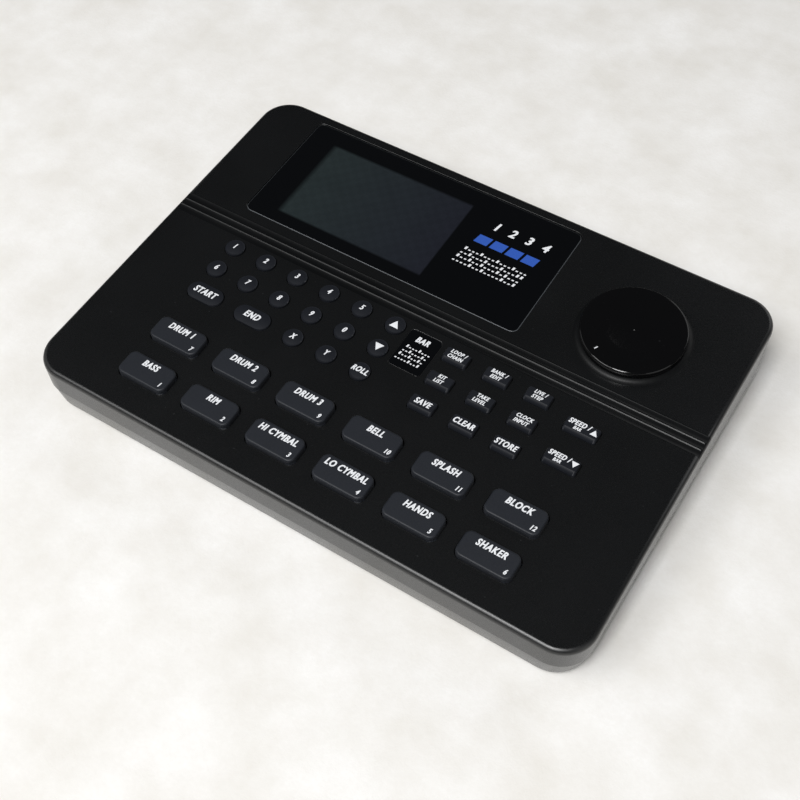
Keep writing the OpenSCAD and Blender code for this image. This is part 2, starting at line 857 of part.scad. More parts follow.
module power_switch() {
    color(socket_black)
    translate([switch_x, panel_y - panel_t - switch_body[1] / 2, switch_z])
        difference() {
            cube(switch_body, center = true);
            translate([0, 3, 0])
                cube([lever_size[0] + lever_travel + 2 * lever_gap, switch_body[1], lever_size[1] + 2 * lever_gap], center = true);
        }
}

module switch_lever() {
    reach = panel_t + lever_proud + 3.6;
    color(steel)
    translate([switch_x - lever_travel / 2, panel_y - panel_t - 3.6 + reach / 2, switch_z])
        cube([lever_size[0], reach, lever_size[1]], center = true);
}

module case_screws() {
    color(steel)
    for (at = boss_at)
        translate([at[0], at[1], foot_h + 0.6])
            difference() {
                union() {
                    cylinder(h = screw_head_t, d = screw_head_dia);
                    cylinder(h = joint_h + screw_reach - foot_h - 0.6, d = screw_dia);
                }
                for (a = [0, 90])
                    rotate([0, 0, a])
                        translate([-1.5, -0.35, -1])
                            cube([3, 0.7, 1.9]);
            }
}

module rubber_feet() {
    color(socket_black)
    for (at = foot_at)
        translate([at[0], at[1], 0])
            rotate_extrude()
                union() {
                    square([foot_dia / 2 - 0.5, foot_h + foot_seat]);
                    translate([0, 0.5])
                        square([foot_dia / 2, foot_h + foot_seat - 0.5]);
                    translate([foot_dia / 2 - 0.5, 0.5])
                        circle(0.5);
                }
}

top_cover();
bottom_case();
display_window();
lcd_module();
info_label();
volume_dial();
pot_shaft();
volume_pot();
pad_mat();
key_mat();
panel_board();
main_board();
phone_jacks();
jack_nuts();
midi_sockets();
power_inlet();
power_switch();
switch_lever();
case_screws();
rubber_feet();
for (i = [1:pad_count])
    pad(i);
for (i = [0:9])
    round_key(number_at(i));
round_key(key_at(5, 0));  // key_up
round_key(key_at(5, 1));  // key_down
round_key(key_at(3, 2));  // key_a
round_key(key_at(4, 2));  // key_b
round_key(key_at(5, 2));  // key_roll
long_key(play_at);  // key_play
long_key(stop_at);  // key_stop
for (i = [1:func_count])
    slope_key(func_at(i), func_w);
slope_key(tempo_key_at(0), tempo_w);  // tempo_up_key
slope_key(tempo_key_at(1), tempo_w);  // tempo_down_key
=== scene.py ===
"""Dresses a desktop drum machine: mouldings, rubber keys, window, dial, print and stage."""

import json
import math
from collections import Counter

import bpy
from bpy.props import FloatProperty, FloatVectorProperty, PointerProperty
from mathutils import Matrix, Vector
from mathutils.bvhtree import BVHTree
from mathutils.geometry import delaunay_2d_cdt


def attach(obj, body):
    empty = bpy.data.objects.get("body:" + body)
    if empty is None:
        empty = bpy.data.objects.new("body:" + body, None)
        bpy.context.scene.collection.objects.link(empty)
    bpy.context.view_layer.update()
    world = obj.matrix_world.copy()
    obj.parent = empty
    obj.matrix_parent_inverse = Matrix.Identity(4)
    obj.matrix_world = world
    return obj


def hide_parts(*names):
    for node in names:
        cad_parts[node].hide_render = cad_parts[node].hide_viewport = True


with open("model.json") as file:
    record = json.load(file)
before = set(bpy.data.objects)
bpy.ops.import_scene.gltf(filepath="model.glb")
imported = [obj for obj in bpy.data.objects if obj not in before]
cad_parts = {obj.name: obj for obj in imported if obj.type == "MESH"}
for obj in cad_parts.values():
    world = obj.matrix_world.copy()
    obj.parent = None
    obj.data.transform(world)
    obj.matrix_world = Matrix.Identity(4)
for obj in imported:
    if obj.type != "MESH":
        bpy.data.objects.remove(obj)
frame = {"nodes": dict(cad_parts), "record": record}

bl_info = {
    "name": "Desktop Drum Machine",
    "version": (1, 0, 0),
    "blender": (4, 5, 0),
    "location": "View3D > Sidebar > Drum Machine",
    "description": "Adds finishes, print and a stage to a desktop drum machine",
    "category": "Object",
}

MM = 0.001

# the deck, in millimetres: its front edge, the stretch of its slope that the grooves cover, and the
# heights above it between which its rolled edge turns into the side wall
DECK_FRONT = Vector((0.0, -83.0, 23.0)) * MM
GROOVES = (90.3, 100.5)
ROLLED_EDGE = (-2.6, -1.2)

# the roundings of the seats' rims, of the window and of the label, in millimetres
RIM_RADIUS = 0.3
WINDOW_BEVEL = 0.35
LABEL_BEVEL = 0.2
BEVEL_STEPS = 3

PADS = [f"pad_{i}" for i in range(1, 13)]
NUMBER_KEYS = [f"key_{i}" for i in range(10)]
ROUND_KEYS = NUMBER_KEYS + ["key_up", "key_down", "key_a", "key_b", "key_roll"]
LONG_KEYS = ["key_play", "key_stop"]
FUNCTION_KEYS = [f"function_key_{i}" for i in range(1, 10)]
TEMPO_KEYS = ["tempo_up_key", "tempo_down_key"]

PAD_WORDS = ["BASS", "RIM", "HI CYMBAL", "LO CYMBAL", "HANDS", "SHAKER"]
PAD_WORDS += ["DRUM 1", "DRUM 2", "DRUM 3", "BELL", "SPLASH", "BLOCK"]
FUNCTION_WORDS = ["LOOP /\nCHAIN", "BANK /\nEDIT", "LIVE /\nSTEP"]
FUNCTION_WORDS += ["KIT\nLIST", "TAKE\nLEVEL", "CLOCK\nINPUT"]
FUNCTION_WORDS += ["SAVE", "CLEAR", "STORE"]
# which steps of a bar are struck, one row for each drum
RHYTHM = ("x...x...x...x...", "..x...x...x...xx", "x..x..x...x.x...", "....x..x....x..x")

# how far the print leans to the right, for each millimetre of height
LEAN = 0.2
# the pen that thickens the letters, across and up, as shares of a capital's height
PEN = (0.05, 0.035)
# the room that a letter and a line take, as shares of the font's own
LETTER_ROOM = 1.16
LINE_ROOM = 0.98
# the height of a capital as a share of the font's size
CAPITAL = 0.73

# the kinds of nodes that are added often
NOISE = "ShaderNodeTexNoise"
RANGE = "ShaderNodeMapRange"
MATHS = "ShaderNodeMath"
MIX = "ShaderNodeMix"
BUMP = "ShaderNodeBump"
# a mix of colours has its factor at input 0, and the colours at 6 and 7
COLOURS = {"data_type": "RGBA"}
# what most values of a noise lie between
MOST = (0.3, 0.7)
# the few values of a noise that are high enough to be a speck
RARE = (0.86, 0.90)
# fine dust on dark plastic, and the light patches of a moulding
DUST = "3C3D3F"
CLOUD = "2A2B2D"


# ---------------------------------------------------------------- colours and nodes


def linear(code):
    """An sRGB hex code as linear red, green and blue."""
    parts = [int(code[i : i + 2], 16) / 255 for i in (0, 2, 4)]
    return tuple(c / 12.92 if c <= 0.04045 else ((c + 0.055) / 1.055) ** 2.4 for c in parts)


def times(colour, factor):
    """A colour made lighter or darker."""
    return [part * factor for part in colour]


def per(size_mm):
    """The scale of a pattern whose grains are this many millimetres wide."""
    return 1.0 / (size_mm * MM)


def node(tree, kind, links=(), **settings):
    """Adds a node, sets its properties, and fills its inputs by name or in order.

    An input takes a value, a socket, or a node, whose first live output it is then linked to."""
    made = tree.nodes.new(kind)
    for key, value in settings.items():
        setattr(made, key, value)
    for key, value in links.items() if isinstance(links, dict) else enumerate(links):
        socket = made.inputs[key]
        if isinstance(value, bpy.types.Node):
            value = next(output for output in value.outputs if output.enabled)
        if isinstance(value, bpy.types.NodeSocket):
            tree.links.new(value, socket)
        elif socket.type == "RGBA":
            socket.default_value = (*value, 1.0)
        else:
            socket.default_value = value
    return made


def new_material(name):
    """An empty material, its node tree, and the object's own coordinates in it."""
    made = bpy.data.materials.new(name)
    made.use_nodes = True
    tree = made.node_tree
    tree.nodes.clear()
    return made, tree, node(tree, "ShaderNodeTexCoord").outputs["Object"]


def surfaced(made, links):
    """The material, closed by its shader, whose inputs are filled from these, and its output."""
    shader = node(made.node_tree, "ShaderNodeBsdfPrincipled", links)
    node(made.node_tree, "ShaderNodeOutputMaterial", {"Surface": shader})
    return made


def deck_axes(tree, place, middle=(0.0, 0.0)):
    """Coordinates along the deck's own axes from this place on it: the vector, and its parts."""
    inverse = deck_place(*middle).inverted()
    links = (place, inverse.translation, inverse.to_euler())
    turned = node(tree, "ShaderNodeMapping", links)
    return turned, node(tree, "ShaderNodeSeparateXYZ", (turned,)).outputs


# ---------------------------------------------------------------- materials


def spark_eroded_abs(name, colour, wall_painted_reflection=None):
    """ABS moulded in a spark-eroded tool: near black, with a fine even grain that breaks its sheen.

    The colour for the cover's side walls, when given, is paler than the case: a painted reflection
    of the pale cloth that the walls mirror at a grazing angle. The cover has grooves, a ring round
    the dial, and rims too: dust takes most of the sheen from the grooves and the ring, and wear
    takes the grain from the ring and the rims."""
    made, tree, place = new_material(name)
    # the tool's grain is about 0.15 mm; drawn at 0.45 mm, the finest that shows
    fine = node(tree, NOISE, {"Vector": place, "Scale": per(0.45), "Detail": 3.0, "Roughness": 0.6})
    dullness = node(tree, RANGE, (fine, *MOST, 0.23, 0.31))
    relief, worn_relief, worn_dullness = 0.3, 0.03, 0.12
    shine, dusty_shine = 0.5, 0.16
    links = {"IOR": 1.65}
    if wall_painted_reflection:
        _, (_, slope, out) = deck_axes(tree, place)
        depth = node(tree, RANGE, (out, ROLLED_EDGE[0] * MM, ROLLED_EDGE[1] * MM, 1.0, 0.0))
        # painted reflection: below the rolled edge the side walls take a paler colour that stands
        # for the pale cloth they mirror
        colour = node(tree, MIX, {0: depth, 6: colour, 7: wall_painted_reflection}, **COLOURS)
        (first, last), fade = GROOVES, 0.3
        after = node(tree, RANGE, (slope, first * MM, (first + fade) * MM, 0.0, 1.0))
        before = node(tree, RANGE, (slope, (last - fade) * MM, last * MM, 1.0, 0.0))
        both = node(tree, MATHS, (after, before), operation="MULTIPLY")
        between = node(tree, MATHS, (both, depth), operation="SUBTRACT")
        # what lies more than 0.02 to 0.2 mm below or above the deck isn't flat deck
        below = node(tree, RANGE, (out, -0.2 * MM, -0.02 * MM, 1.0, 0.0))
        above = node(tree, RANGE, (out, 0.02 * MM, 0.2 * MM, 0.0, 1.0))
        dusty = node(tree, MATHS, (between, above), operation="MAXIMUM")
        links["Specular IOR Level"] = node(tree, RANGE, (dusty, 0.0, 1.0, shine, dusty_shine))
        # the rolled edges, the rims and the ring are smoother than the flat deck, and duller
        off_deck = node(tree, MATHS, (below, above), operation="ADD")
        worn = node(tree, MATHS, (off_deck, depth), operation="SUBTRACT")
        dullness = node(tree, MATHS, (worn, worn_dullness, dullness), operation="MULTIPLY_ADD")
        relief = node(tree, RANGE, (worn, 0.0, 1.0, relief, worn_relief))
    # a hardly seen cloudiness, some centimetres wide
    cloudy = node(tree, NOISE, {"Vector": place, "Scale": per(35.0), "Detail": 3.0})
    faint = node(tree, RANGE, (cloudy, *MOST, 0.0, 0.08))
    plastic = node(tree, MIX, {0: faint, 6: colour, 7: linear(CLOUD)}, **COLOURS)
    # single faint specks of dust, a third of a millimetre wide and centimetres apart
    spots = node(tree, NOISE, {"Vector": place, "Scale": per(1.1), "Detail": 0.0})
    specks = node(tree, RANGE, (spots, *RARE, 0.0, 0.25))
    links["Base Color"] = node(tree, MIX, {0: specks, 6: plastic, 7: linear(DUST)}, **COLOURS)
    links["Roughness"] = dullness
    grained = {"Height": fine, "Strength": relief, "Distance": 0.012 * MM}
    links["Normal"] = node(tree, BUMP, grained)
    return surfaced(made, links)


def silicone_rubber(name, colour, shine=0.5):
    """Moulded silicone rubber: slate, with a soft sheen and a faint, uneven bloom."""
    made, tree, place = new_material(name)
    bloom = node(tree, NOISE, {"Vector": place, "Scale": per(6.0), "Detail": 4.0})
    fine = node(tree, NOISE, {"Vector": place, "Scale": per(0.3), "Detail": 2.0})
    grained = {"Height": fine, "Strength": 0.25, "Distance": 0.01 * MM}
    links = {
        "Base Color": node(tree, MIX, {0: bloom, 6: colour, 7: times(colour, 1.25)}, **COLOURS),
        "Roughness": node(tree, RANGE, (fine, *MOST, 0.46, 0.56)),
        "Normal": node(tree, BUMP, grained),
        "IOR": 1.41,
        "Specular IOR Level": shine,
        "Sheen Weight": 0.08 * shine,
        "Sheen Roughness": 0.4,
    }
    return surfaced(made, links)


def polished_plastic(name, colour):
    """Polished black plastic: a mirror-like face with a trace of dust and hairline wear."""
    made, tree, place = new_material(name)
    # hairlines from wiping: noise drawn out along one way
    wiped = {"Vector": place, "Rotation": (0.0, 0.0, 0.5), "Scale": (1.0, 0.05, 1.0)}
    drawn = node(tree, "ShaderNodeMapping", wiped)
    hairlines = node(tree, NOISE, {"Vector": drawn, "Scale": per(0.5), "Detail": 2.0})
    haze = node(tree, NOISE, {"Vector": place, "Scale": per(14.0), "Detail": 5.0})
    wear = node(tree, MATHS, (haze, hairlines), operation="MULTIPLY")
    spots = node(tree, NOISE, {"Vector": place, "Scale": per(1.3), "Detail": 0.0})
    specks = node(tree, RANGE, (spots, *RARE, 0.0, 0.25))
    links = {
        "Base Color": node(tree, MIX, {0: specks, 6: colour, 7: linear(DUST)}, **COLOURS),
        "Roughness": node(tree, RANGE, (wear, 0.12, 0.38, 0.07, 0.16)),
        "IOR": 1.49,
    }
    return surfaced(made, links)


def window_acrylic(colours, middle, half):
    """Acrylic printed black on its back: polished, with its bevelled edge painted pale and matt as
    a painted highlight of the glint along it.

    It is clear over the liquid crystal, which shows as a dull grey-green field. middle is the place
    of that field on the deck, and half is half its width and depth, in millimetres."""
    made, tree, place = new_material("window_acrylic")
    turned, (across, slope, out) = deck_axes(tree, place, middle)
    wide, deep = half
    # the glass lies some millimetres below the window; its edges fade to dark over these
    # millimetres, widest at the left, as painted shade of the window's frame
    left, right, front, rear = 2.6, 0.7, 1.1, 1.3
    field = node(tree, RANGE, (across, -wide * MM, (left - wide) * MM, 0.0, 1.0))
    for axis, start, end, low, high in (
        (across, wide - right, wide, 1.0, 0.0),
        (slope, -deep, front - deep, 0.0, 1.0),
        (slope, deep - rear, deep, 1.0, 0.0),
    ):
        edge = node(tree, RANGE, (axis, start * MM, end * MM, low, high))
        field = node(tree, MATHS, (field, edge), operation="MULTIPLY")
    tint = node(tree, RANGE, (across, -wide * MM, wide * MM, 0.0, 1.0))
    glass = node(tree, MIX, {0: tint, 6: colours.crystal, 7: colours.crystal_far}, **COLOURS)
    # the cells of the display, 2.8 mm wide, hardly show while it is off
    light, dark = (1.0, 1.0, 1.0), (0.93, 0.93, 0.93)
    checks = node(tree, "ShaderNodeTexChecker", (turned, light, dark, per(2.8)))
    glass = node(tree, MIX, {0: 1.0, 6: glass, 7: checks}, **COLOURS, blend_type="MULTIPLY")
    mottle = node(tree, NOISE, {"Vector": place, "Scale": per(9.0), "Detail": 4.0})
    faint = node(tree, RANGE, (mottle, *MOST, 0.0, 0.12))
    glass = node(tree, MIX, {0: faint, 6: glass, 7: colours.window}, **COLOURS)
    printed = node(tree, MIX, {0: field, 6: colours.window, 7: glass}, **COLOURS)
    # the top lies 0.35 mm below the deck, and what is lower is the bevelled edge, painted pale and
    # matt as a painted highlight of its glint
    painted_glint_edge = node(tree, RANGE, (out, -0.42 * MM, -0.36 * MM, 1.0, 0.0))
    haze = node(tree, NOISE, {"Vector": place, "Scale": per(18.0), "Detail": 4.0})
    polish = node(tree, RANGE, (haze, *MOST, 0.05, 0.10))
    links = {
        "Base Color": node(tree, MIX, {0: painted_glint_edge, 6: printed, 7: colours.window_edge_painted_glint}, **COLOURS),
        "Roughness": node(tree, MATHS, (painted_glint_edge, 0.3, polish), operation="MULTIPLY_ADD"),
        "IOR": 1.49,
    }
    return surfaced(made, links)


def screen_ink(name, colour):
    """Screen-printed ink: flat, slightly uneven in cover."""
    made, tree, place = new_material(name)
    cover = node(tree, NOISE, {"Vector": place, "Scale": per(0.6), "Detail": 2.0})
    inked = node(tree, MIX, {0: cover, 6: times(colour, 0.9), 7: colour}, **COLOURS)
    return surfaced(made, {"Base Color": inked, "Roughness": 0.55})


def plated_steel(name, colour, roughness):
    """Plated, turned steel: pale, with fine turning marks."""
    made, tree, place = new_material(name)
    marks = node(tree, NOISE, {"Vector": place, "Scale": per(0.4), "Detail": 3.0})
    turned = {"Height": marks, "Strength": 0.2, "Distance": 0.02 * MM}
    links = {
        "Base Color": node(tree, MIX, {0: marks, 6: times(colour, 0.8), 7: colour}, **COLOURS),
        "Metallic": 1.0,
        "Roughness": node(tree, RANGE, (marks, *MOST, roughness, roughness + 0.15)),
        "Normal": node(tree, BUMP, turned),
    }
    return surfaced(made, links)


def filled_nylon(colour):
    """Glass-filled nylon of the sockets: black, dull, faintly mottled."""
    made, tree, place = new_material("filled_nylon")
    mottle = node(tree, NOISE, {"Vector": place, "Scale": per(1.2), "Detail": 3.0})
    grained = {"Height": mottle, "Strength": 0.3, "Distance": 0.03 * MM}
    links = {
        "Base Color": node(tree, MIX, {0: mottle, 6: colour, 7: times(colour, 1.5)}, **COLOURS),
        "Roughness": node(tree, RANGE, (mottle, *MOST, 0.45, 0.65)),
        "Normal": node(tree, BUMP, grained),
    }
    return surfaced(made, links)


def solder_mask(colour):
    """Green solder mask over glass cloth, whose weave shows faintly."""
    made, tree, place = new_material("solder_mask")
    threads = {"Vector": place, "Scale": per(0.9)}
    weave = node(tree, "ShaderNodeTexWave", threads, bands_direction="DIAGONAL").outputs["Fac"]
    woven = {"Height": weave, "Strength": 0.1, "Distance": 0.02 * MM}
    links = {
        "Base Color": node(tree, MIX, {0: weave, 6: colour, 7: times(colour, 1.2)}, **COLOURS),
        "Roughness": 0.35,
        "Normal": node(tree, BUMP, woven),
    }
    return surfaced(made, links)


def velour(colour, patch):
    """Short-pile cloth on the table: off white, with soft patches where the pile lies otherwise."""
    made, tree, place = new_material("velour")
    clouds = {"Vector": place, "Scale": per(32.0), "Detail": 5.0, "Roughness": 0.6}
    brushed = node(tree, RANGE, (node(tree, NOISE, clouds), *MOST, 0.0, 1.0))
    pile = node(tree, NOISE, {"Vector": place, "Scale": per(1.6), "Detail": 3.0, "Roughness": 0.7})
    cloth = node(tree, MIX, {0: brushed, 6: colour, 7: patch}, **COLOURS)
    shaded = node(tree, RANGE, (pile, *MOST, 0.0, 0.25))
    tufts = {"Height": pile, "Strength": 0.25, "Distance": 0.4 * MM}
    links = {
        "Base Color": node(tree, MIX, {0: shaded, 6: cloth, 7: patch}, **COLOURS),
        "Roughness": 0.95,
        "Specular IOR Level": 0.1,
        "Normal": node(tree, BUMP, tufts),
    }
    return surfaced(made, links)


# ---------------------------------------------------------------- pieces


def deck_place(x, s, h=0.0):
    """The matrix that puts a piece on the deck: x across, s up the slope, h out of it, in mm."""
    tilt = Matrix.Rotation(bpy.context.scene.drum_sizes.tilt, 4, "X")
    return Matrix.Translation(DECK_FRONT) @ tilt @ Matrix.Translation(Vector((x, s, h)) * MM)


def deck_box(name):
    """The lowest and highest corners of a CAD node along the deck's own axes, in millimetres."""
    flat = deck_place(0.0, 0.0).inverted()
    points = [flat @ point.co / MM for point in frame["nodes"][name].data.vertices]
    return tuple([end(p[i] for p in points) for i in range(3)] for end in (min, max))


def on_top(name, aside=0.0, up=0.0):
    """The place of a print on top of a node, moved from its middle by these millimetres."""
    low, high = deck_box(name)
    lift = bpy.context.scene.drum_sizes.ink_lift / MM
    return deck_place((low[0] + high[0]) / 2 + aside, (low[1] + high[1]) / 2 + up, high[2] + lift)


def only(*objects):
    """Selects these objects alone and makes the first one active."""
    bpy.ops.object.select_all(action="DESELECT")
    for obj in objects:
        obj.select_set(True)
    bpy.context.view_layer.objects.active = objects[0]


def body_of(name):
    """The body that a CAD node belongs to."""
    return next(b for b, nodes in frame["record"]["behaviour"]["bodies"].items() if name in nodes)


def slot_of(name):
    """The record's material slot of a CAD node."""
    return next(s["material_slot"] for s in frame["record"]["subparts"] if s["node"] == name)


def finish_piece(obj, name, material, body):
    """Names a piece, gives it its one material and sets it on its body."""
    obj.name = name
    obj.data.name = name
    obj.data.materials.clear()
    obj.data.materials.append(material)
    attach(obj, body)


def soften_rims(obj, names):
    """Rounds the edges that lie in the deck's surface round each of these nodes."""
    # the most that a wall's normal has out of the deck, and how near a rim lies to the deck's
    # surface and to its node, in millimetres
    upright, flush, seat = 0.3, 0.03, 0.8
    flat = deck_place(0.0, 0.0).inverted()
    spots = [flat @ corner.co / MM for corner in obj.data.vertices]
    walls = set()
    for face in obj.data.polygons:
        if abs((flat.to_3x3() @ face.normal).z) < upright:
            walls.update(face.edge_keys)
    boxes = [deck_box(name) for name in names]

    def round_a_node(spot):
        return any(
            low[0] - seat < spot.x < high[0] + seat and low[1] - seat < spot.y < high[1] + seat
            for low, high in boxes
        )

    for parts in (obj.data.vertices, obj.data.edges, obj.data.polygons):
        for part in parts:
            part.select = False
    for edge in obj.data.edges:
        ends = [spots[i] for i in edge.vertices]
        on_rim = all(abs(end.z) < flush and round_a_node(end) for end in ends)
        if on_rim and tuple(sorted(edge.vertices)) in walls:
            edge.select = True
            for corner in edge.vertices:
                obj.data.vertices[corner].select = True
    bpy.ops.object.mode_set(mode="EDIT")
    bpy.ops.mesh.select_mode(type="EDGE")
    bpy.ops.mesh.bevel(offset=RIM_RADIUS * MM, segments=BEVEL_STEPS, clamp_overlap=True)
    bpy.ops.mesh.select_mode(type="VERT")
    bpy.ops.object.mode_set(mode="OBJECT")


def rounded_copy(name, material, rims=(), bevel=0.0):
    """Stands for a CAD node: its mesh, merged, with whole flat faces, smooth curves, crisp edges.

    rims names the nodes round which its edges are rounded, and bevel rounds all its own crisp edges
    by these millimetres."""
    copy = bpy.data.objects.new(name + "_skin", frame["nodes"][name].data.copy())
    bpy.context.scene.collection.objects.link(copy)
    only(copy)
    bpy.ops.object.mode_set(mode="EDIT")
    bpy.ops.mesh.select_all(action="SELECT")
    bpy.ops.mesh.remove_doubles(threshold=0.002 * MM)
    bpy.ops.mesh.dissolve_limited(angle_limit=math.radians(0.3))
    bpy.ops.object.mode_set(mode="OBJECT")
    if rims:
        soften_rims(copy, rims)
    if bevel:
        bpy.ops.object.modifier_add(type="BEVEL")
        copy.modifiers[-1].width = bevel * MM
        copy.modifiers[-1].segments = BEVEL_STEPS
        copy.modifiers[-1].angle_limit = math.radians(60.0)
        bpy.ops.object.modifier_apply(modifier=copy.modifiers[-1].name)
    bpy.ops.object.shade_smooth_by_angle(angle=math.radians(32.0))
    bpy.ops.object.modifier_add(type="WEIGHTED_NORMAL")
    copy.modifiers[-1].keep_sharp = True
    bpy.ops.object.modifier_apply(modifier=copy.modifiers[-1].name)
    finish_piece(copy, name + "_skin", material, body_of(name))
    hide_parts(name)


def refinish(name, material):
    """Gives a CAD node a better material and leaves its mesh alone."""
    obj = frame["nodes"][name]
    obj.data.materials.clear()
    obj.data.materials.append(material)


def thicken(mesh, wide, tall):
    """Draws round a flat mesh's rim with an oval pen, in mm: heavier strokes with soft corners."""
    uses = Counter(key for face in mesh.polygons for key in face.edge_keys)
    rim = [key for key, count in uses.items() if count == 1]
    points = [corner.co.to_2d() / MM for corner in mesh.vertices]
    faces = [list(face.vertices) for face in mesh.polygons]
    # the pen has eight corners, which lie outside the oval by as much as its flats need to touch it
    outside = 1.08
    turns = [math.pi * (k + 0.5) / 4 for k in range(8)]
    pen = [Vector((wide * math.cos(turn), tall * math.sin(turn))) * outside for turn in turns]

    def add(corners):
        faces.append(list(range(len(points), len(points) + len(corners))))
        points.extend(corners)

    for first, second in rim:
        start, end = points[first], points[second]
        out = max(pen, key=lambda tip: tip.cross(end - start))
        add([start - out, end - out, end + out, start + out])
    for corner in dict.fromkeys(corner for key in rim for corner in key):
        add([points[corner] + tip for tip in pen])
    # what lies inside the faces is kept, and corners nearer than this become one
    inside, nearest = 1, 1e-4
    drawn, _, parts, *_ = delaunay_2d_cdt(points, [], faces, inside, nearest)
    cover = BVHTree.FromPolygons([point.to_3d() for point in points], faces)
    up = Vector((0.0, 0.0, 1.0))

    def inked(part):
        middle = sum((drawn[i] for i in part), Vector((0.0, 0.0))) / len(part)
        return cover.ray_cast(middle.to_3d() + up, -up)[0] is not None

    mesh.clear_geometry()
    kept = [part for part in parts if inked(part)]
    mesh.from_pydata([point.to_3d() * MM for point in drawn], [], kept)


def word(text, cap, at=(0.0, 0.0), squeeze=0.76):
    """A flat word in heavy, leaning capitals, cap millimetres high and squeezed to be narrow."""
    bpy.ops.object.select_all(action="DESELECT")
    bpy.ops.object.text_add(location=(0.0, 0.0, 0.0))
    obj = bpy.context.object
    obj.data.body = text
    obj.data.size = cap * (1.0 - 2.0 * PEN[1]) * MM / CAPITAL
    obj.data.space_character = LETTER_ROOM
    obj.data.space_line = LINE_ROOM
    obj.data.align_x = "CENTER"
    obj.data.align_y = "CENTER"
    obj.data.resolution_u = 3
    bpy.ops.object.convert(target="MESH")
    obj = bpy.context.object
    bpy.ops.object.mode_set(mode="EDIT")
    bpy.ops.mesh.select_all(action="SELECT")
    bpy.ops.mesh.remove_doubles(threshold=0.001 * MM)
    bpy.ops.object.mode_set(mode="OBJECT")
    obj.data.transform(Matrix.Diagonal((squeeze, 1.0, 1.0, 1.0)))
    thicken(obj.data, cap * PEN[0], cap * PEN[1])
    bpy.ops.object.mode_set(mode="EDIT")
    bpy.ops.mesh.select_all(action="SELECT")
    bpy.ops.mesh.dissolve_limited(angle_limit=math.radians(1.0))
    bpy.ops.mesh.quads_convert_to_tris()
    bpy.ops.mesh.delete_loose()
    bpy.ops.object.mode_set(mode="OBJECT")
    for corner in obj.data.vertices:
        corner.co.x += corner.co.y * LEAN
    obj.data.transform(Matrix.Translation(Vector((*at, 0.0)) * MM))
    return obj


def triangle(width, height, at=(0.0, 0.0), down=False):
    """A flat triangle that points up or down."""
    # in a circle of radius 1 it is this wide and tall, with its middle this far from the circle's
    wide, tall, off = 1.732, 1.5, 0.25
    bpy.ops.object.select_all(action="DESELECT")
    bpy.ops.mesh.primitive_circle_add(vertices=3, radius=1.0, fill_type="NGON")
    obj = bpy.context.object
    obj.scale = (width * MM / wide, height * MM / tall, 1.0)
    obj.rotation_euler = (0.0, 0.0, math.pi if down else 0.0)
    middle = off * height / tall * (-1.0 if down else 1.0)
    obj.location = (at[0] * MM, (at[1] - middle) * MM, 0.0)
    bpy.ops.object.transform_apply(location=True, rotation=True, scale=True)
    return obj


def bar(length, height, at=(0.0, 0.0), lean=LEAN):
    """A flat printed bar with leaning ends."""
    bpy.ops.object.select_all(action="DESELECT")
    bpy.ops.mesh.primitive_plane_add(size=1.0)
    obj = bpy.context.object
    for corner in obj.data.vertices:
        corner.co.x = corner.co.x * length + corner.co.y * height * lean
        corner.co.y *= height
        corner.co = corner.co * MM + Vector((at[0], at[1], 0.0)) * MM
    return obj


def step_rows(rows, pitch, height, at):
    """A bar of music as rows of small leaning marks: tall where a drum is struck, low at a rest."""
    # a rest's height and the rows' pitch are shares of height, and a mark's width is one of pitch
    rest, row_pitch, share = 0.4, 1.6, 0.52
    marks = []
    for j, row in enumerate(rows):
        for i, step in enumerate(row):
            tall = height if step == "x" else height * rest
            foot = at[1] - j * height * row_pitch
            aside = at[0] + (i - (len(row) - 1) / 2) * pitch
            middle = (aside + (foot + tall / 2) * LEAN, foot + tall / 2)
            marks.append(bar(pitch * share, tall, middle))
    return marks


def print_on(name, marks, place, ink, body, crown=(0.0, 0.0)):
    """Joins flat marks into one print, bends it to its surface and lays it there.

    crown is the surface's curvature across and along, in one per metre."""
    only(*marks)
    if len(marks) > 1:
        bpy.ops.object.join()
    obj = bpy.context.object
    if any(crown):
        bpy.ops.object.mode_set(mode="EDIT")
        bpy.ops.mesh.select_all(action="SELECT")
        bpy.ops.mesh.subdivide(number_cuts=2)
        bpy.ops.object.mode_set(mode="OBJECT")
        for point in obj.data.vertices:
            point.co.z -= (crown[0] * point.co.x**2 + crown[1] * point.co.y**2) / 2.0
    obj.data.transform(place)
    finish_piece(obj, name, ink, body)


# ---------------------------------------------------------------- settings


def shade(name, code, words):
    """A colour setting whose default is an sRGB hex code."""
    limits = {"min": 0.0, "max": 1.0, "default": linear(code)}
    return FloatVectorProperty(name=name, description=words, subtype="COLOR", size=3, **limits)


def size(name, mm, words):
    """A length setting whose default is in millimetres."""
    limits = {"min": 0.0, "precision": 5, "default": mm * MM}
    return FloatProperty(name=name, description=words, subtype="DISTANCE", unit="LENGTH", **limits)


class DrumSizes(bpy.types.PropertyGroup):
    """Sizes that the print follows."""

    tilt: FloatProperty(
        name="Deck Slope",
        description="Slope of the deck",
        subtype="ANGLE",
        default=math.radians(5.0),
    )
    pad_cap: size("Pad Letters", 3.0, "Height of the capitals on the pads")
    pad_figure: size("Pad Figures", 2.2, "Height of the figures on the pads")
    key_cap: size("Key Letters", 2.7, "Height of the figures on the round keys")
    word_cap: size("Function Words", 2.7, "Height of a single word's capitals on a function key")
    small_cap: size("Small Letters", 1.85, "Height of the capitals in two lines on a function key")
    ink_lift: size("Ink Lift", 0.03, "Height of the ink above its surface")
    crown: size("Key Crown", 16.0, "Radius of the domes of the round and long keys")


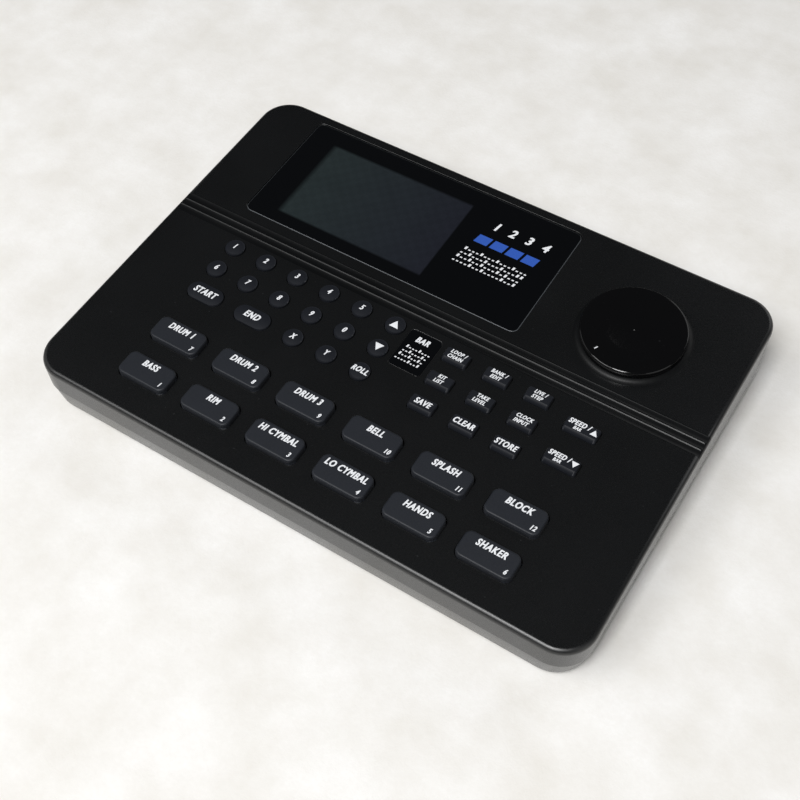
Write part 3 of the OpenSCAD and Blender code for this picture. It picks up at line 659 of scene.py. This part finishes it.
class DrumColours(bpy.types.PropertyGroup):
    """Colours of the finishes."""

    case: shade("Case", "08090A", "Moulded cover")
    # a paler colour painted on the side walls, a painted reflection of the cloth
    wall_painted_reflection: shade("Side Walls", "2E2F30", "Side walls of the cover")
    # the bottom case's own dark grey, made paler as a painted reflection of the cloth that its
    # leaning sides mirror
    base: shade("Base", "3A3B3C", "Moulded bottom case")
    pad: shade("Pads", "191C22", "Rubber of the pads")
    key: shade("Keys", "17191E", "Rubber of the keys")
    window: shade("Window", "050608", "Back print of the window")
    # the window's bevel is painted pale to stand for the glint it catches, a painted highlight
    window_edge_painted_glint: shade("Window Edge", "5C6064", "Milled edge of the window")
    crystal: shade("Crystal, Left", "262E2F", "Liquid crystal field at its left")
    crystal_far: shade("Crystal, Right", "1E2028", "Liquid crystal field at its right")
    dial: shade("Dial", "070708", "Polished dial")
    ink: shade("White Ink", "EDEFF2", "White print")
    ink_blue: shade("Blue Ink", "2B57B4", "Blue print")
    steel: shade("Steel", "B9BCC0", "Plated steel")
    socket: shade("Sockets", "101113", "Sockets and feet")
    board: shade("Boards", "1D5A38", "Circuit boards")
    cloth: shade("Cloth", "FCFBF9", "Cloth under the machine")
    cloth_patch: shade("Cloth Patches", "EBE8E2", "Cloth where the pile lies another way")


# ---------------------------------------------------------------- operators


class DRUM_OT_case(bpy.types.Operator):
    """Finish the two halves of the case"""

    bl_idname = "drum.case"
    bl_label = "Case"

    def execute(self, context):
        colours = context.scene.drum_colours
        # the cover's side walls get a paler colour, a painted reflection of the cloth
        cover = spark_eroded_abs("spark_eroded_abs", colours.case, colours.wall_painted_reflection)
        rounded_copy("top_cover", cover, rims=("display_window", "info_label"))
        # the bottom case's pale colour is partly its own grey and partly a painted reflection of
        # the cloth
        rounded_copy("bottom_case", spark_eroded_abs("spark_eroded_base", colours.base))
        return {"FINISHED"}


class DRUM_OT_keys(bpy.types.Operator):
    """Finish the pads, the keys and the mats below them"""

    bl_idname = "drum.keys"
    bl_label = "Pads and Keys"

    def execute(self, context):
        colours = context.scene.drum_colours
        pad_rubber = silicone_rubber("pad_silicone", colours.pad)
        # the keys are handled less than the pads, and duller
        key_rubber = silicone_rubber("key_silicone", colours.key, shine=0.25)
        for name in PADS:
            rounded_copy(name, pad_rubber)
        for name in ROUND_KEYS + LONG_KEYS + FUNCTION_KEYS + TEMPO_KEYS:
            rounded_copy(name, key_rubber)
        for name in ("pad_mat", "key_mat"):
            refinish(name, pad_rubber)
        return {"FINISHED"}


class DRUM_OT_window(bpy.types.Operator):
    """Finish the display window, the display and the label"""

    bl_idname = "drum.window"
    bl_label = "Window"

    def execute(self, context):
        colours = context.scene.drum_colours
        low, high = deck_box("lcd_module")
        middle = ((low[0] + high[0]) / 2, (low[1] + high[1]) / 2)
        # the module's frame is 5 mm wide at the glass's sides and 4 mm before and behind it
        half = ((high[0] - low[0]) / 2 - 5.0, (high[1] - low[1]) / 2 - 4.0)
        rounded_copy("display_window", window_acrylic(colours, middle, half), bevel=WINDOW_BEVEL)
        gloss = polished_plastic("polished_label", colours.window)
        rounded_copy("info_label", gloss, bevel=LABEL_BEVEL)
        refinish("lcd_module", gloss)
        return {"FINISHED"}


class DRUM_OT_dial(bpy.types.Operator):
    """Finish the volume dial and add its pointer"""

    bl_idname = "drum.dial"
    bl_label = "Volume Dial"

    def execute(self, context):
        colours = context.scene.drum_colours
        rounded_copy("volume_dial", polished_plastic("polished_dial", colours.dial))
        # the pointer lies in its notch at the low stop, this far from the middle of the dial and
        # below its top
        low_stop, out, deep = math.radians(-120.0), 16.9 * MM, 0.36 * MM
        ink = screen_ink("pointer_ink", colours.ink)
        mark = bar(length=0.45, height=1.7, lean=0.0)
        turned = Matrix.Rotation(low_stop - math.pi / 2, 4, "Z")
        place = on_top("volume_dial") @ turned @ Matrix.Translation((0.0, out, -deep))
        print_on("dial_pointer", [mark], place, ink, body_of("volume_dial"))
        return {"FINISHED"}


class DRUM_OT_print(bpy.types.Operator):
    """Print numbers, words and marks on the keys, the pads and the window"""

    bl_idname = "drum.print"
    bl_label = "Print"

    def execute(self, context):
        sizes, colours = context.scene.drum_sizes, context.scene.drum_colours
        white = screen_ink("white_ink", colours.ink)
        blue = screen_ink("blue_ink", colours.ink_blue)
        curve = 1.0 / sizes.crown
        # the tops of the sloped keys lie this far up the deck from the keys' middles
        sloped = 0.55

        def label(name, marks, up=0.0, crown=(0.0, 0.0)):
            place = on_top(name, 0.0, up)
            print_on(name + "_print", marks, place, white, body_of(name), crown)

        # each mark's sizes and its place from the middle are in millimetres
        for i, text in enumerate(PAD_WORDS):
            figure = word(str(i + 1), sizes.pad_figure / MM, at=(8.2, -2.8))
            label(PADS[i], [word(text, sizes.pad_cap / MM, at=(0.2, 2.3)), figure])
        for name in NUMBER_KEYS:
            figure = word(name[-1], sizes.key_cap / MM, at=(0.0, 0.3))
            label(name, [figure], crown=(curve, curve))
        for name, down in (("key_up", False), ("key_down", True)):
            arrow = triangle(width=3.9, height=3.3, at=(0.0, 0.1), down=down)
            label(name, [arrow], crown=(curve, curve))
        for name, text in (("key_a", "X"), ("key_b", "Y"), ("key_roll", "ROLL")):
            label(name, [word(text, sizes.key_cap / MM, at=(0.0, 0.3))], crown=(curve, curve))
        for name, text in (("key_play", "START"), ("key_stop", "END")):
            label(name, [word(text, cap=3.2, at=(0.0, 0.2))], crown=(0.0, curve))
        for name, text in zip(FUNCTION_KEYS, FUNCTION_WORDS):
            cap = sizes.small_cap if "\n" in text else sizes.word_cap
            label(name, [word(text, cap / MM)], sloped)
        for name, down in (("tempo_up_key", False), ("tempo_down_key", True)):
            above = word("SPEED /", cap=2.3, at=(-1.4, 0.95))
            below = word("BAR", cap=1.55, at=(-1.4, -1.25))
            arrow = triangle(width=2.9, height=2.5, at=(4.7, 0.2), down=down)
            label(name, [above, below, arrow], sloped)

        # the window's right part, whose middle is this far from its edge: the four beats, a blue
        # block for each, and a bar of music below
        from_edge = 24.5
        low, high = deck_box("display_window")
        place = on_top("display_window", high[0] - (low[0] + high[0]) / 2 - from_edge)
        body, slot = body_of("display_window"), slot_of("display_window")
        beats = [word(str(i + 1), 4.6, at=(-7.5 + 7.4 * i, 14.5), squeeze=0.9) for i in range(4)]
        rows = step_rows(RHYTHM, pitch=1.8, height=1.5, at=(0.6, -1.6))
        print_on("window_print_white", beats + rows, place, white, body)
        blocks = [bar(length=5.9, height=4.4, at=(-9.2 + 7.1 * i, 6.0)) for i in range(4)]
        print_on("window_print_blue", blocks, place, blue, body)

        # the label between the key fields has half a bar
        title = word("BAR", cap=2.9, at=(0.0, 5.6))
        rows = step_rows([row[:8] for row in RHYTHM], pitch=1.35, height=1.3, at=(0.3, 0.6))
        label("info_label", [title, *rows])
        return {"FINISHED"}


class DRUM_OT_fittings(bpy.types.Operator):
    """Finish the sockets, the switch, the boards, the screws and the feet"""

    bl_idname = "drum.fittings"
    bl_label = "Fittings"

    def execute(self, context):
        colours = context.scene.drum_colours
        nylon = filled_nylon(colours.socket)
        zinc = plated_steel("zinc_plated_steel", colours.steel, 0.28)
        nickel = plated_steel("nickel_plated_nut", colours.steel, 0.2)
        mask = solder_mask(colours.board)
        foot = silicone_rubber("foot_rubber", colours.socket)
        for name in ("phone_jacks", "midi_sockets", "power_inlet", "power_switch", "switch_lever"):
            rounded_copy(name, nylon)
        rounded_copy("jack_nuts", nickel)
        rounded_copy("rubber_feet", foot)
        for name in ("pot_shaft", "volume_pot", "case_screws"):
            rounded_copy(name, zinc)
        for name in ("panel_board", "main_board"):
            refinish(name, mask)
        return {"FINISHED"}


class DRUM_OT_stage(bpy.types.Operator):
    """Add the table cloth, the lights and the camera"""

    bl_idname = "drum.stage"
    bl_label = "Stage"

    def execute(self, context):
        scene = context.scene
        colours = scene.drum_colours
        bpy.ops.object.select_all(action="DESELECT")
        bpy.ops.mesh.primitive_plane_add(size=6.0, location=(0.0, 0.0, 0.0))
        floor = context.object
        floor.name = "table_cloth"
        floor.data.materials.append(velour(colours.cloth, colours.cloth_patch))

        world = bpy.data.worlds.new("room")
        scene.world = world
        world.use_nodes = True
        tree = world.node_tree
        tree.nodes.clear()
        room = node(tree, "ShaderNodeBackground", {"Color": (0.95, 0.97, 1.0), "Strength": 0.045})
        node(tree, "ShaderNodeOutputWorld", {"Surface": room})

        # each lamp faces the machine: its place, width and height in metres, and its power in watts
        for name, at, wide, tall, power in (
            ("ceiling_light", (0.1, -1.15, 1.8), 0.55, 1.0, 33.5),
            ("hall_light", (-0.75, -1.1, 1.7), 1.1, 1.1, 16.5),
            ("window_light", (-1.7, -0.35, 1.1), 1.3, 1.3, 2.5),
            ("side_light", (1.5, -0.4, 0.6), 1.2, 0.9, 2.4),
            ("back_light", (0.5, 1.6, 0.9), 1.2, 1.2, 4.0),
        ):
            bpy.ops.object.light_add(type="AREA", location=at)
            lamp = context.object
            lamp.name = name
            lamp.data.shape = "RECTANGLE"
            lamp.data.size = wide
            lamp.data.size_y = tall
            lamp.data.energy = power
            lamp.rotation_mode = "QUATERNION"
            lamp.rotation_quaternion = Vector(at).to_track_quat("Z", "Y")

        # the camera's own axes, and its place in millimetres
        right = Vector((0.844624, 0.535339, 0.004792))
        up = Vector((-0.426701, 0.667762, 0.609935))
        back = Vector((0.323322, -0.517210, 0.792437))
        spot = Vector((158.46, -257.32, 382.12))
        bpy.ops.object.camera_add()
        camera = context.object
        camera.name = "view"
        turned = Matrix((right, up, back)).transposed().to_4x4()
        camera.matrix_world = Matrix.Translation(spot * MM) @ turned
        camera.data.sensor_width = 36.0
        camera.data.lens = 54.751
        camera.data.clip_start = 0.01
        scene.camera = camera
        scene.view_settings.view_transform = "Standard"
        return {"FINISHED"}


class DRUM_PT_panel(bpy.types.Panel):
    """Lists the pieces and their settings"""

    bl_idname = "DRUM_PT_panel"
    bl_label = "Drum Machine"
    bl_space_type = "VIEW_3D"
    bl_region_type = "UI"
    bl_category = "Drum Machine"

    def draw(self, context):
        for group in (context.scene.drum_sizes, context.scene.drum_colours):
            box = self.layout.box()
            for key in group.__annotations__:
                box.prop(group, key)
        for operator in OPERATORS:
            self.layout.operator(operator.bl_idname)


OPERATORS = (
    DRUM_OT_case,
    DRUM_OT_keys,
    DRUM_OT_window,
    DRUM_OT_dial,
    DRUM_OT_print,
    DRUM_OT_fittings,
    DRUM_OT_stage,
)
CLASSES = (DrumSizes, DrumColours, *OPERATORS, DRUM_PT_panel)


def register():
    """Adds the settings, the operators and the panel."""
    for cls in CLASSES:
        bpy.utils.register_class(cls)
    bpy.types.Scene.drum_sizes = PointerProperty(type=DrumSizes)
    bpy.types.Scene.drum_colours = PointerProperty(type=DrumColours)


def unregister():
    """Takes them away again."""
    del bpy.types.Scene.drum_colours
    del bpy.types.Scene.drum_sizes
    for cls in reversed(CLASSES):
        bpy.utils.unregister_class(cls)


def main():
    """Builds everything in order."""
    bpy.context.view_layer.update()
    register()
    bpy.ops.drum.case()
    bpy.ops.drum.keys()
    bpy.ops.drum.window()
    bpy.ops.drum.dial()
    bpy.ops.drum.print()
    bpy.ops.drum.fittings()
    bpy.ops.drum.stage()


if __name__ == "__main__":
    main()
